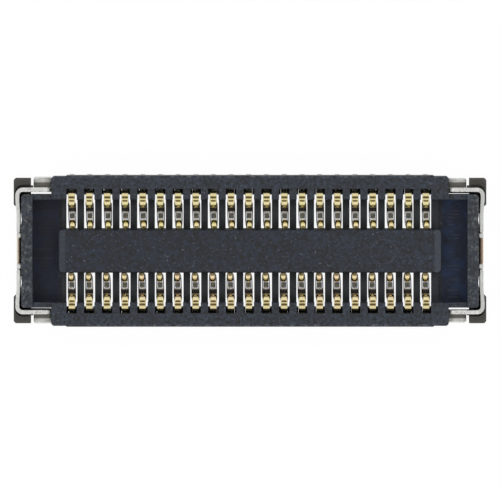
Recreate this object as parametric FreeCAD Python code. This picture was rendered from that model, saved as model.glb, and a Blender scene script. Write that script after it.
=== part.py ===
import FreeCAD
import Part

import math
import os

# A fine-pitch board-to-board receptacle for a flexible circuit, lying on its board with its mating face up.
# X runs along the two rows of contacts, Y across them, and Z = 0 is the board under the solder tails.
# One black moulding carries everything: a rectangular wall, a central island, and a slotted floor between them.
# Each contact is one formed strip: solder tail, leg in the wall, hook over the top, sprung leg, base, tip arm.
# A thin metal clip wraps each end and is soldered down by two feet. All sizes are in millimetres.

# contact rows
contacts_per_row = 21
pitch = 0.40
row_shift = -0.0275          # whole contact field, from the middle of the moulding

# contact strip
strip_width = 0.16
strip_thickness = 0.07
tail_reach = 0.018           # tail past the wall's outer face
tail_bend = 0.07             # bends below the hook are cut straight across at these sizes
leg_bend = 0.20
arm_bend = 0.08
hook_radius = 0.155          # outside of the bend over the top
hook_facets = 7
hook_inset = 0.052           # hook's middle, outwards from the wall's inner face
hook_drop = 0.04             # hook's crest below the top of the housing
leg_lean_deg = 14.0          # sprung leg leans towards the island down to its knee
knee_drop = 0.34             # knee below the hook's crest
base_clearance = 0.05        # strip's base above the board
arm_inset = 0.073            # foot of the tip arm, outwards from the island's side
arm_lean = 0.055             # tip of the arm leans back over this distance
arm_drop = 0.12              # tip of the arm below the top of the island

# coined pads that touch the mating contact: one on the sprung leg, one on the tip arm
pad_width = 0.15
pad_nose_width = 0.11
hook_pad_nose = 0.972        # distance from the connector's middle
hook_pad_root = 0.01         # inside the sprung leg's face
hook_pad_low = 0.33          # root, below the hook's crest
hook_nose_high = 0.14        # nose, below the hook's crest
hook_nose_low = 0.24
tip_pad_nose = 0.710         # distance from the connector's middle
tip_pad_low = 0.33           # root, below the arm's tip
tip_nose_high = 0.10         # nose, below the arm's tip
tip_nose_low = 0.20
tip_pad_root = 0.03          # outwards from the arm's back
pad_gap = 0.006              # pads start this far below the ends of their faces

# housing heights
standoff = 0.04              # underside of the moulding above the board
housing_height = 0.90
floor_thickness = 0.26
end_floor_step = 0.08        # end pockets are deeper than the slotted floor by this
island_drop = 0.04           # island's top below the top of the wall
mouth_chamfer = 0.03
island_edge = 0.02           # narrow chamfer along the island's sides
island_edge_height = 0.05
island_end_ramp = 0.18       # long lead-in at the island's ends

# housing plan
island_width = 0.974
channel_width = 0.669
wall_thickness = 0.553
field_margin = 0.15          # thicker wall past the last contact
shoulder_margin = 0.486      # wall's end past the last contact
shoulder_step = 0.02
shoulder_chamfer = 0.045
floor_margin = 0.26          # slotted floor past the last contact
island_margin = 0.316        # island past the last contact
island_corner_radius = 0.09
end_pocket_length = 0.584
end_wall_thickness = 0.264
end_corner_radius = 0.08
thin_wall_thickness = 0.124  # side walls of the end pockets
thin_wall_drop = 0.10

# openings for the contacts
slot_side_gap = 0.043        # free space each side of the strip in the floor
pocket_side_gap = 0.036      # free space each side of the strip in the wall
pocket_back_gap = 0.044      # behind the leg, at the top of the wall
slot_start = 0.017           # floor slot, outwards from the island's side
slot_undercut = 0.108        # floor slot runs this far under the wall
leg_back_gap = 0.05
tail_gap = 0.01              # over the tail, under the wall

# metal clips at the ends
clip_thickness = 0.095
clip_corner_radius = 0.165   # outside of the bend
clip_end_gap = 0.038         # from the end wall, at the corners
clip_waist_gap = 0.019       # from the end wall, in the middle
clip_waist_thickness = 0.086 # end plate is thinned between its corners
clip_waist_half = 0.85       # across Y, where the thin part ends
clip_waist_slope = 0.30      # across Y, back to full thickness
clip_side_gap = 0.052        # from the thin side wall
clip_top_drop = 0.04
clip_bottom = 0.20
clip_tongue = 0.12           # part moulded into the wall's end
clip_tongue_low = 0.34
clip_tongue_high = 0.62
notch_width = 0.58
notch_depth = 0.26
knob_width = 0.12            # rounded shear ends beside the notch
knob_gap = 0.007             # from the end wall
knob_chamfer = 0.018
foot_length = 0.385          # along X
foot_reach = 0.228           # across Y, from the arm's outer face
foot_bend_radius = 0.125
foot_setback = 0.024         # from the wall's end
foot_chamfer = 0.035

# corner blocks under the clips
block_height = 0.36
block_margin_x = 0.045       # past the clip's outer face
block_margin_y = 0.216
block_groove_x = 0.010       # free space outside the clip
block_groove_y = 0.060
block_length = 0.389         # along X
block_width = 0.647          # along Y
block_chamfer = 0.045
toe_reach = 0.045            # low toe beside each foot, past the clip's outer face
toe_gap = 0.010              # from the foot
flange_inset = 0.020         # low flange between the blocks, inside the clip's outer face
relief_width = 0.30          # crescent through the flange, each side of the middle
relief_offset = 0.71
relief_depth = 0.011         # into the end wall's outer face

OVERRUN = 1.0                # how far a cutting tool passes the faces that it opens
BITE = 0.01                  # how far one block of a cutting tool runs into the next

# places that follow from the sizes
row_half = pitch * (contacts_per_row - 1) / 2
island_half = island_width / 2
channel_half = island_half + channel_width
body_half = channel_half + wall_thickness
thin_wall_half = channel_half + thin_wall_thickness
field_x = row_half + field_margin
shoulder_x = row_half + shoulder_margin
floor_x = row_half + floor_margin
island_x = row_half + island_margin
pocket_x = island_x + end_pocket_length
end_x = pocket_x + end_wall_thickness
floor_top = standoff + floor_thickness
end_floor_top = floor_top - end_floor_step
island_top = housing_height - island_drop
clip_top = housing_height - clip_top_drop
clip_x = end_x + clip_end_gap + clip_thickness
waist_inner_x = end_x + clip_waist_gap
waist_x = waist_inner_x + clip_waist_thickness
clip_y = thin_wall_half + clip_side_gap + clip_thickness
block_x = clip_x + block_margin_x
block_y = clip_y + block_margin_y
block_top = standoff + block_height
foot_start_x = shoulder_x + foot_setback
foot_end_x = foot_start_x + foot_length

# the strip's own places, as distances from the middle of the connector
hook_y = channel_half + hook_inset
hook_top = housing_height - hook_drop
leg_outer = hook_y + hook_radius
leg_inner = leg_outer - strip_thickness
slot_outer = channel_half + slot_undercut
arm_back = island_half + arm_inset
arm_tip_top = island_top - arm_drop


def point(y, z):
    return FreeCAD.Vector(0, y, z)


def box(x0, x1, y0, y1, z0, z1):
    return Part.makeBox(x1 - x0, y1 - y0, z1 - z0, FreeCAD.Vector(x0, y0, z0))


def centred_box(half_x, half_y, z0, z1):
    return box(-half_x, half_x, -half_y, half_y, z0, z1)


def upright_edges(solid):
    return [e for e in solid.Edges if abs(e.tangentAt(e.FirstParameter).z) > 0.999]


def rounded_box(half_x, half_y, radius, z0, z1):
    block = centred_box(half_x, half_y, z0, z1)
    return block.makeFillet(radius, upright_edges(block))


def polygon_face(corners):
    return Part.Face(Part.makePolygon(corners + corners[:1]))


def prismoid(first, last):
    """A solid with flat faces between two four-cornered ends, their corners given in the same order."""
    faces = [polygon_face(first), polygon_face(last)]
    for i in range(4):
        j = (i + 1) % 4
        faces.append(polygon_face([first[i], first[j], last[j], last[i]]))
    shell = Part.makeShell(faces)
    shell.sewShape()
    return Part.makeSolid(shell)


def rectangle(half_x, half_y, z):
    corners = [(-half_x, -half_y), (half_x, -half_y), (half_x, half_y), (-half_x, half_y)]
    return [FreeCAD.Vector(x, y, z) for x, y in corners]


def tapered_box(half_x0, half_y0, z0, half_x1, half_y1, z1):
    return prismoid(rectangle(half_x0, half_y0, z0), rectangle(half_x1, half_y1, z1))


def half_turn(solid):
    return solid.rotated(FreeCAD.Vector(0, 0, 0), FreeCAD.Vector(0, 0, 1), 180)


def both_ends(solid):
    return [solid, half_turn(solid)]


def four_corners(solid):
    mirrored = solid.mirror(FreeCAD.Vector(0, 0, 0), FreeCAD.Vector(0, 1, 0))
    return both_ends(solid) + both_ends(mirrored)


def island():
    edge_z = island_top - island_edge_height
    lower = centred_box(island_x, island_half, standoff, edge_z)
    upper = tapered_box(island_x, island_half, edge_z, island_x - island_end_ramp, island_half - island_edge, island_top)
    outline = rounded_box(island_x, island_half, island_corner_radius, standoff, island_top)
    return lower.fuse(upper).common(outline)


def wall_block():
    shoulders = centred_box(shoulder_x, body_half - shoulder_step, standoff, housing_height)
    shoulders = shoulders.makeChamfer(shoulder_chamfer, upright_edges(shoulders))
    field = centred_box(field_x, body_half, standoff, housing_height)
    ends = rounded_box(end_x, thin_wall_half, end_corner_radius, standoff, housing_height)
    return shoulders.fuse([field, ends])


def mouth():
    """The space that the mating plug enters, round the island."""
    deep = centred_box(pocket_x, channel_half, end_floor_top, housing_height + OVERRUN)
    ledge = centred_box(floor_x, channel_half, end_floor_top, floor_top)
    rim_z = housing_height - mouth_chamfer
    rim = tapered_box(
        pocket_x, channel_half, rim_z, pocket_x + mouth_chamfer, channel_half + mouth_chamfer, housing_height
    )
    return deep.cut(ledge).fuse(rim).cut(island())


def thin_wall_relief():
    """Space over the low side walls of one end pocket."""
    low = housing_height - thin_wall_drop
    return box(shoulder_x, pocket_x, -body_half, body_half, low, housing_height + OVERRUN)


def corner_block():
    block = box(block_x - block_length, block_x, block_y - block_width, block_y, standoff, block_top)
    lip = [e for e in upright_edges(block) if e.BoundBox.XMin > block_x - BITE]
    block = block.makeChamfer(block_chamfer, lip)
    half_x = clip_x + block_groove_x
    half_y = clip_y + block_groove_y
    block = block.cut(rounded_box(half_x, half_y, clip_corner_radius, clip_bottom, block_top + OVERRUN))
    inner_x = block_x - block_length
    toe = box(foot_end_x + toe_gap, inner_x + BITE, clip_y - clip_thickness, clip_y + toe_reach, standoff, clip_bottom)
    return block.fuse(toe)


def flange():
    """The low strip of one end wall's foot that the clip's end plate stands on."""
    half_y = block_y - block_width + BITE
    return box(end_x - BITE, waist_x - flange_inset, -half_y, half_y, standoff, clip_bottom)


def end_wall_recesses():
    """Two crescents through one flange, which also bite a little into the end wall."""
    start_x = end_x - relief_depth
    reach = clip_waist_gap + relief_depth + BITE
    half = relief_width / 2
    radius = (half**2 + reach**2) / (2 * reach)
    below = standoff - OVERRUN
    above = housing_height + OVERRUN
    drum = Part.makeCylinder(radius, above - below, FreeCAD.Vector(start_x + radius, 0, below))
    recess = drum.common(box(start_x - OVERRUN, start_x + reach, -half - OVERRUN, half + OVERRUN, below, above))
    return [recess.translated(FreeCAD.Vector(0, side * relief_offset, 0)) for side in (-1, 1)]


def contact_opening():
    """Everything cut from the moulding for one contact of the +Y row."""
    slot = strip_width / 2 + slot_side_gap
    pocket = strip_width / 2 + pocket_side_gap
    grip = strip_width / 2
    leg_end = leg_outer + leg_back_gap
    below = standoff - OVERRUN
    return box(-slot, slot, island_half + slot_start, slot_outer, below, floor_top).fuse(
        [
            box(-pocket, pocket, channel_half - BITE, leg_outer + pocket_back_gap, floor_top, housing_height + OVERRUN),
            box(-grip, grip, slot_outer - BITE, leg_end, below, floor_top + BITE),
            box(-grip, grip, leg_end - BITE, body_half + OVERRUN, below, strip_thickness + tail_gap),
        ]
    ).removeSplitter()


def contact_places():
    return [row_shift + pitch * i - row_half for i in range(contacts_per_row)]


def along_row(solid):
    """Copies of a solid of the +Y row, and the same turned round for the -Y row, each numbered from the -X end."""
    back = [solid.translated(FreeCAD.Vector(x, 0, 0)) for x in contact_places()]
    front = [half_turn(solid).translated(FreeCAD.Vector(x, 0, 0)) for x in contact_places()]
    return back, front


def clip_tongues():
    """The two ends of a clip that sit inside the wall's end."""
    y0 = clip_y - clip_thickness
    start = shoulder_x - clip_tongue
    tongue = box(start, foot_start_x, y0, clip_y, clip_tongue_low, clip_tongue_high)
    return [tongue, tongue.mirror(FreeCAD.Vector(0, 0, 0), FreeCAD.Vector(0, 1, 0))]


def housing():
    body = wall_block().fuse(four_corners(corner_block()) + both_ends(flange()))
    cuts = [mouth()]
    cuts += both_ends(thin_wall_relief())
    for solid in end_wall_recesses() + clip_tongues():
        cuts += both_ends(solid)
    back, front = along_row(contact_opening())
    return body.cut(cuts).cut(back + front).removeSplitter()


def pad(sizes):
    """A coined pad of the +Y row: wide where it leaves the strip, narrow at its nose. One row of sizes per end."""
    ends = []
    for y, width, low, high in sizes:
        half = width / 2
        corners = [(-half, low), (half, low), (half, high), (-half, high)]
        ends.append([FreeCAD.Vector(x, y, z) for x, z in corners])
    return prismoid(*ends)


def contact():
    """One formed strip of the +Y row, its side outline in the YZ plane pulled to the strip's width."""
    lean = math.radians(leg_lean_deg)
    hook_z = hook_top - hook_radius
    knee_z = hook_top - knee_drop
    base_top = base_clearance + strip_thickness

    # the hook turns from the sprung leg's direction to the outer leg's
    turn = [math.pi - lean - (math.pi - lean) * i / hook_facets for i in range(hook_facets + 1)]
    hook = [(hook_y + hook_radius * math.cos(t), hook_z + hook_radius * math.sin(t)) for t in turn]
    face_start_y, face_start_z = hook[0]
    inside_top = hook_top - strip_thickness
    knee_y = face_start_y - (face_start_z - knee_z) * math.tan(lean)
    inside_y = face_start_y - (face_start_z - inside_top) * math.tan(lean) + strip_thickness / math.cos(lean)
    leg_back = knee_y + strip_thickness
    tail_end = body_half + tail_reach
    arm_front = arm_back + strip_thickness

    outline = hook + [
        (leg_outer, strip_thickness),
        (tail_end, strip_thickness),
        (tail_end, 0),
        (leg_inner + tail_bend, 0),
        (leg_inner, tail_bend),
        (leg_inner, inside_top),
        (inside_y, inside_top),
        (leg_back, knee_z),
        (leg_back, base_clearance + leg_bend),
        (leg_back - leg_bend, base_clearance),
        (arm_back + arm_bend, base_clearance),
        (arm_back, base_clearance + arm_bend),
        (arm_back - arm_lean, arm_tip_top),
        (arm_back - arm_lean + strip_thickness, arm_tip_top),
        (arm_front, base_clearance + arm_bend),
        (arm_front + arm_bend / 2, base_top),
        (knee_y - leg_bend * 0.6, base_top),
        (knee_y, base_top + leg_bend * 0.6),
        (knee_y, knee_z),
    ]
    corners = [FreeCAD.Vector(-strip_width / 2, y, z) for y, z in outline]
    strip = polygon_face(corners).extrude(FreeCAD.Vector(strip_width, 0, 0))

    hook_pad = pad(
        [
            (face_start_y + hook_pad_root, pad_width, hook_top - hook_pad_low, face_start_z - pad_gap),
            (hook_pad_nose, pad_nose_width, hook_top - hook_nose_low, hook_top - hook_nose_high),
        ]
    )
    tip_pad = pad(
        [
            (arm_back + tip_pad_root, pad_width, arm_tip_top - tip_pad_low, arm_tip_top - pad_gap),
            (tip_pad_nose, pad_nose_width, arm_tip_top - tip_nose_low, arm_tip_top - tip_nose_high),
        ]
    )
    return strip.fuse([hook_pad, tip_pad]).removeSplitter()


def clip_foot():
    """One arm's solder tab: straight down, bent outwards, flat on the board."""
    inner = clip_y - clip_thickness
    bend_y = clip_y + foot_bend_radius
    bend_z = clip_thickness + foot_bend_radius
    end_y = clip_y + foot_reach
    top = clip_top - notch_depth
    diagonal = math.sqrt(0.5)
    small = foot_bend_radius * diagonal
    large = (foot_bend_radius + clip_thickness) * diagonal
    outline = [
        Part.LineSegment(point(clip_y, top), point(clip_y, bend_z)),
        Part.Arc(point(clip_y, bend_z), point(bend_y - small, bend_z - small), point(bend_y, clip_thickness)),
        Part.LineSegment(point(bend_y, clip_thickness), point(end_y, clip_thickness)),
        Part.LineSegment(point(end_y, clip_thickness), point(end_y, 0)),
        Part.LineSegment(point(end_y, 0), point(bend_y, 0)),
        Part.Arc(point(bend_y, 0), point(bend_y - large, bend_z - large), point(inner, bend_z)),
        Part.LineSegment(point(inner, bend_z), point(inner, top)),
        Part.LineSegment(point(inner, top), point(clip_y, top)),
    ]
    wire = Part.Wire([curve.toShape() for curve in outline])
    foot = Part.Face(wire).extrude(FreeCAD.Vector(foot_length, 0, 0))
    foot = foot.translated(FreeCAD.Vector(foot_start_x, 0, 0))
    corner = [
        e
        for e in upright_edges(foot)
        if abs(e.BoundBox.XMin - foot_end_x) < BITE and abs(e.BoundBox.YMin - end_y) < BITE
    ]
    return foot.makeChamfer(foot_chamfer, corner)


def clip_side(start_x, far_x, middle_x, half_y, radius):
    """A block with the plan of one side of the clip: straight arms, round corners and a waisted end."""
    slope_y = clip_waist_half + clip_waist_slope
    right = [(far_x, slope_y), (middle_x, clip_waist_half), (middle_x, -clip_waist_half), (far_x, -slope_y)]
    plan = [(start_x, half_y), (far_x, half_y)] + right + [(far_x, -half_y), (start_x, -half_y)]
    block = polygon_face([FreeCAD.Vector(x, y, clip_bottom) for x, y in plan])
    block = block.extrude(FreeCAD.Vector(0, 0, clip_top - clip_bottom))
    bends = []
    for edge in upright_edges(block):
        spot = edge.BoundBox
        if abs(spot.XMin - far_x) < BITE and abs(abs(spot.YMin) - half_y) < BITE:
            bends.append(edge)
    return block.makeFillet(radius, bends)


def clip():
    """The clip of the +X end: a strip bent round three sides, with a notch where it was cut from its carrier."""
    outer = clip_side(foot_start_x, clip_x, waist_x, clip_y, clip_corner_radius)
    inner = clip_side(
        foot_start_x - OVERRUN,
        clip_x - clip_thickness,
        waist_inner_x,
        clip_y - clip_thickness,
        clip_corner_radius - clip_thickness,
    )
    strip = outer.cut(inner)
    notch_half = notch_width / 2
    notch = box(pocket_x, clip_x + OVERRUN, -notch_half, notch_half, clip_top - notch_depth, clip_top + OVERRUN)
    strip = strip.cut(notch)

    knob_y = notch_half + knob_width / 2
    knob_x = end_x + knob_gap
    half = knob_width / 2
    knob = box(knob_x, waist_inner_x + BITE, -half, half, clip_top - notch_depth, clip_top)
    rounded = [e for e in upright_edges(knob) if e.BoundBox.XMin < knob_x + BITE / 2]
    knob = knob.makeChamfer(knob_chamfer, rounded)
    extras = [knob.translated(FreeCAD.Vector(0, side * knob_y, 0)) for side in (-1, 1)]
    foot = clip_foot()
    extras += [foot, foot.mirror(FreeCAD.Vector(0, 0, 0), FreeCAD.Vector(0, 1, 0))]
    return strip.fuse(extras + clip_tongues()).removeSplitter()


def save(name, shape):
    shape.exportStep(os.path.join("parts", name + ".step"))


def main():
    os.makedirs("parts", exist_ok=True)
    save("housing", housing())
    right, left = both_ends(clip())
    save("hold_down_right", right)
    save("hold_down_left", left)
    back, front = along_row(contact())
    for number, (back_one, front_one) in enumerate(zip(back, front), 1):
        save(f"contact_back_{number:02d}", back_one)
        save(f"contact_front_{number:02d}", front_one)


main()
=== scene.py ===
# %% [markdown]
# # A fine-pitch receptacle for a flexible circuit
# The object is small enough to lie on a fingertip: 10.7 mm long, 3.5 mm wide and under 1 mm high. One black
# moulding holds two rows of gold spring contacts, and a bright metal clip wraps each end. It lies on its
# board, mating face up. This first cell loads the measured solids that everything else is fitted to.

# %% Load the measured frame
import math

import bmesh
import bpy
from mathutils import Matrix, Vector


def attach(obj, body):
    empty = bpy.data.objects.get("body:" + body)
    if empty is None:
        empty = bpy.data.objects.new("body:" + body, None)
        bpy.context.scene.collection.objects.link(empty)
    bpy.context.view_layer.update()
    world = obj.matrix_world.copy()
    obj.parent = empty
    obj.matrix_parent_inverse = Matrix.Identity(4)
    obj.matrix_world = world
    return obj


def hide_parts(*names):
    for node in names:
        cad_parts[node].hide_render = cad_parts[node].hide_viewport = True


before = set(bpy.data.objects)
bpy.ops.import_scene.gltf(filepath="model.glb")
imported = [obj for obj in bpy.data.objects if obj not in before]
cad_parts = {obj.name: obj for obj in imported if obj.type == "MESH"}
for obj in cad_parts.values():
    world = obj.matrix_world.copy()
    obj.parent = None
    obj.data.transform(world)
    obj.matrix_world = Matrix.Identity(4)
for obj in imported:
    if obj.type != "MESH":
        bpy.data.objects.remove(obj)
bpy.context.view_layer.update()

MM = 0.001

# %% [markdown]
# ## Camera
# The picture looks straight down at the mating face through a long lens, so there is almost no perspective.
# The camera leans a little over one degree towards the back row, which is why the ends of the back tails
# peep out.

# %% Camera
FRAME_WIDTH = 11.30 * MM
LENS = 1000.0
SENSOR = 36.0
LEAN = math.radians(1.3)
AIM = Vector((0.0, 0.0146 * MM, 0.45 * MM))

camera_data = bpy.data.cameras.new("camera")
camera_data.lens = LENS
camera_data.sensor_width = SENSOR
camera_data.clip_start = 0.01
camera_data.clip_end = 10.0
camera = bpy.data.objects.new("camera", camera_data)
bpy.context.scene.collection.objects.link(camera)
distance = FRAME_WIDTH * LENS / SENSOR
camera.location = AIM + Vector((0.0, math.sin(LEAN), math.cos(LEAN))) * distance
camera.rotation_euler = (-LEAN, 0.0, 0.0)
bpy.context.scene.camera = camera
bpy.context.scene.view_settings.view_transform = "Standard"
print("camera distance in mm:", round(distance / MM, 1))

# %% [markdown]
# ## Small tools for materials
# Colours are written as the hex values that a screen shows, and one function turns them to the linear
# numbers that the renderer works in. Another adds a node, sets its inputs and links whatever is passed as a
# socket. The third makes an empty material.

# %% Colour and node helpers
def colour(hex_value):
    channels = [int(hex_value[i:i + 2], 16) / 255 for i in (1, 3, 5)]
    linear = [c / 12.92 if c <= 0.04045 else ((c + 0.055) / 1.055) ** 2.4 for c in channels]
    return (*linear, 1.0)


def add(tree, kind, settings=None, **inputs):
    """Adds a node. An input goes by its name, with _ for a space, or by its number, as i0 or i1."""
    node = tree.nodes.new(kind)
    for name, value in (settings or {}).items():
        setattr(node, name, value)
    for name, value in inputs.items():
        key = int(name[1:]) if name[1:].isdigit() and name[0] == "i" else name.replace("_", " ")
        socket = node.inputs[key]
        if isinstance(value, bpy.types.NodeSocket):
            tree.links.new(value, socket)
        else:
            socket.default_value = value
    return node


def new_material(name):
    material = bpy.data.materials.new(name)
    material.use_nodes = True
    material.node_tree.nodes.clear()
    return material, material.node_tree


print("white is", colour("#ffffff"))

# %% [markdown]
# ## Light and floor
# Small parts like this are photographed under a ring of light round the lens. The lens itself is dark, so a
# polished strip that lies flat looks dark in its middle, and bright where it curves away. The world is
# painted that way: a dark spot straight up, a bright ring round it, and a soft fall to the sides. The floor
# shows white to the camera and in reflections, and still takes the part's shadow.

# %% World light
world = bpy.data.worlds.new("ring light")
bpy.context.scene.world = world
world.use_nodes = True
sky = world.node_tree
sky.nodes.clear()
sky_direction = add(sky, "ShaderNodeTexCoord").outputs["Generated"]
sky_height = add(sky, "ShaderNodeSeparateXYZ", Vector=sky_direction).outputs["Z"]
ring = add(sky, "ShaderNodeValToRGB", Fac=sky_height)
# height of the ray, and how bright the sky is there; the lens itself looks a warm dark brown
RING = [(0.0, 0.45), (0.30, 0.50), (0.50, 0.95), (0.62, 1.08), (0.945, 1.08), (0.968, 0.16), (1.0, 0.13)]
LENS_TINT = (1.15, 0.95, 0.52)
LENS_EDGE = 0.95
while len(ring.color_ramp.elements) < len(RING):
    ring.color_ramp.elements.new(0.5)
for element, (place, value) in zip(ring.color_ramp.elements, RING):
    element.position = place
    tint = LENS_TINT if place > LENS_EDGE else (1.0, 1.0, 1.0)
    element.color = (*[value * share for share in tint], 1.0)
ray = add(sky, "ShaderNodeLightPath")
sky_light = add(sky, "ShaderNodeBackground", Color=ring.outputs["Color"], Strength=1.0)
sky_white = add(sky, "ShaderNodeBackground", Color=(1, 1, 1, 1), Strength=1.0)
sky_mix = add(sky, "ShaderNodeMixShader", Fac=ray.outputs["Is Camera Ray"])
sky.links.new(sky_light.outputs[0], sky_mix.inputs[1])
sky.links.new(sky_white.outputs[0], sky_mix.inputs[2])
add(sky, "ShaderNodeOutputWorld", Surface=sky_mix.outputs[0])
print("sky stops:", len(RING))

# %% Floor
FLOOR = 400 * MM
FLOOR_DROP = 0.002 * MM
# the floor's own light, and its share where the camera or a reflection sees the floor
GLOW = 1.02
GLOW_SHARE = 0.94

floor_material, tree = new_material("white paper floor")
ray = add(tree, "ShaderNodeLightPath")
seen = add(tree, "ShaderNodeMath", {"operation": "MAXIMUM"}, i0=ray.outputs["Is Camera Ray"],
           i1=ray.outputs["Is Glossy Ray"])
seen = add(tree, "ShaderNodeMath", {"operation": "MAXIMUM"}, i0=seen.outputs[0],
           i1=ray.outputs["Is Transmission Ray"])
paper = add(tree, "ShaderNodeBsdfDiffuse", Color=colour("#f2f2f2"))
glow = add(tree, "ShaderNodeEmission", Color=(1, 1, 1, 1), Strength=GLOW)
share = add(tree, "ShaderNodeMath", {"operation": "MULTIPLY"}, i0=seen.outputs[0], i1=GLOW_SHARE)
floor_mix = add(tree, "ShaderNodeMixShader", Fac=share.outputs[0])
tree.links.new(paper.outputs[0], floor_mix.inputs[1])
tree.links.new(glow.outputs[0], floor_mix.inputs[2])
add(tree, "ShaderNodeOutputMaterial", Surface=floor_mix.outputs[0])

floor_mesh = bpy.data.meshes.new("floor")
corners = [(-FLOOR, -FLOOR), (FLOOR, -FLOOR), (FLOOR, FLOOR), (-FLOOR, FLOOR)]
floor_mesh.from_pydata([(x, y, -FLOOR_DROP) for x, y in corners], [], [(0, 1, 2, 3)])
floor_mesh.materials.append(floor_material)
floor = bpy.data.objects.new("floor", floor_mesh)
bpy.context.scene.collection.objects.link(floor)
print("floor half width in mm:", round(FLOOR / MM))

# %% [markdown]
# ## The black resin
# The moulding is a glass-filled liquid-crystal polymer. It is nearly black with a blue cast, satin rather
# than shiny, and its skin shows flow marks and pale specks of fibre. Its floors were moulded against
# polished steel and are smoother than the top. The four corner blocks look a little browner. The colour is
# built in layers. Each has a mask, made from bands of position and from noise, and the colour that is laid
# on where the mask is white.

# %% Position and bands
def position_mm(tree):
    """Object coordinates in millimetres."""
    metres = add(tree, "ShaderNodeTexCoord").outputs["Object"]
    return add(tree, "ShaderNodeMapping", Vector=metres, Scale=(1 / MM, 1 / MM, 1 / MM)).outputs[0]


def per_mm(size_mm):
    """The scale of a pattern whose features are this many millimetres apart."""
    return 1.0 / size_mm


def band(tree, value, start, end, blur):
    """1 where the value lies between start and end, 0 outside."""
    rise = add(tree, "ShaderNodeMapRange", Value=value, From_Min=start - blur, From_Max=start + blur)
    fall = add(tree, "ShaderNodeMapRange", Value=value, From_Min=end + blur, From_Max=end - blur)
    both = add(tree, "ShaderNodeMath", {"operation": "MULTIPLY"}, i0=rise.outputs[0], i1=fall.outputs[0])
    return both.outputs[0]


def product(tree, *values):
    """All the values multiplied together."""
    result = values[0]
    for value in values[1:]:
        result = add(tree, "ShaderNodeMath", {"operation": "MULTIPLY"}, i0=result, i1=value).outputs[0]
    return result


def side_distances(tree, place):
    """How far a point lies from the middle along X and Y, and its height."""
    parts = add(tree, "ShaderNodeSeparateXYZ", Vector=place).outputs
    x = add(tree, "ShaderNodeMath", {"operation": "ABSOLUTE"}, i0=parts["X"]).outputs[0]
    y = add(tree, "ShaderNodeMath", {"operation": "ABSOLUTE"}, i0=parts["Y"]).outputs[0]
    return x, y, parts["Z"]


print("pattern scale for 0.5 mm clouds:", per_mm(0.5))

# %% Resin: clouds, mottles and specks
# places on the moulding are in mm: how far from its middle, or how high, from where to where
ISLAND_X = 4.3
ISLAND_Y = (-1.0, 0.50)
ISLAND_TOP = (0.70, 0.88)
FLOORS = (-1.0, 0.35)

resin, tree = new_material("black glass-filled polymer, moulded")
place = position_mm(tree)
x, y, z = side_distances(tree, place)
coordinates = add(tree, "ShaderNodeSeparateXYZ", Vector=place).outputs
from_left = coordinates["X"]
from_front = coordinates["Y"]
clouds = add(tree, "ShaderNodeTexNoise", Vector=place, Scale=per_mm(0.45), Detail=6.0, Roughness=0.7)
clouds = add(tree, "ShaderNodeMapRange", Value=clouds.outputs["Fac"], From_Min=0.34, From_Max=0.66)
tone = add(tree, "ShaderNodeMix", {"data_type": "RGBA"}, Factor=clouds.outputs[0], A=colour("#131a24"),
           B=colour("#242d3b"))
# the island is darker, most of all at its left
island_shade = add(tree, "ShaderNodeMapRange", Value=from_left, From_Min=-ISLAND_X, From_Max=ISLAND_X,
                   To_Min=1.0, To_Max=0.52)
island_shade = product(tree, band(tree, z, *ISLAND_TOP, blur=0.01), band(tree, y, *ISLAND_Y, blur=0.01),
                       island_shade.outputs[0])
tone = add(tree, "ShaderNodeMix", {"data_type": "RGBA"}, Factor=island_shade, A=tone.outputs[2],
           B=colour("#0b1524"))
mottle = add(tree, "ShaderNodeTexNoise", Vector=place, Scale=per_mm(0.075), Detail=3.0, Roughness=0.7)
mottle = add(tree, "ShaderNodeMapRange", Value=mottle.outputs["Fac"], From_Min=0.37, From_Max=0.63)
mottle_share = add(tree, "ShaderNodeMapRange", Value=band(tree, z, *FLOORS, blur=0.02), To_Min=0.95,
                   To_Max=0.50)
tone = add(tree, "ShaderNodeMix", {"data_type": "RGBA", "blend_type": "OVERLAY"},
           Factor=mottle_share.outputs[0], A=tone.outputs[2], B=mottle.outputs[0])
specks = add(tree, "ShaderNodeTexNoise", Vector=place, Scale=per_mm(0.05), Detail=2.0, Roughness=0.7)
specks = add(tree, "ShaderNodeMapRange", Value=specks.outputs["Fac"], From_Min=0.62, From_Max=0.74)
layers = [(specks.outputs[0], colour("#5b6470"))]
print("nodes for clouds, mottles and specks:", len(tree.nodes))

# %% Resin: walls, island ends and corner blocks
END_WALL = (4.92, 5.20)
OUTER_EDGE = (1.655, 1.80)
WALL_TOP = (0.80, 1.0)
WORN_SHARE = 0.85
ISLAND_END = (4.17, 4.34)
ISLAND_END_HEIGHT = (0.60, 0.88)
BLOCK_X = (4.93, 6.0)
BLOCK_Y = (0.98, 2.0)
BLOCK_HEIGHT = (-1.0, 0.41)

# the end walls get dark patches of painted shade, standing for small hollows, and they and the outer edges
# are scuffed paler in patches
end_wall = band(tree, x, *END_WALL, blur=0.01)
wall_top = band(tree, z, *WALL_TOP, blur=0.02)
hollow_shade = add(tree, "ShaderNodeTexNoise", Vector=place, Scale=per_mm(0.13), Detail=6.0, Roughness=0.80)
hollow_shade = add(tree, "ShaderNodeMapRange", Value=hollow_shade.outputs["Fac"], From_Min=0.46, From_Max=0.62,
              To_Max=0.65)
layers.append((product(tree, hollow_shade.outputs[0], end_wall, wall_top), colour("#070b10")))
scuffs = add(tree, "ShaderNodeTexNoise", Vector=place, Scale=per_mm(0.13), Detail=8.0, Roughness=0.80)
scuffs = add(tree, "ShaderNodeMapRange", Value=scuffs.outputs["Fac"], From_Min=0.50, From_Max=0.70)
worn = add(tree, "ShaderNodeMath", {"operation": "MAXIMUM"}, i0=end_wall,
           i1=band(tree, y, *OUTER_EDGE, blur=0.02))
layers.append((product(tree, worn.outputs[0], scuffs.outputs[0], wall_top, WORN_SHARE), colour("#7e8589")))

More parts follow.
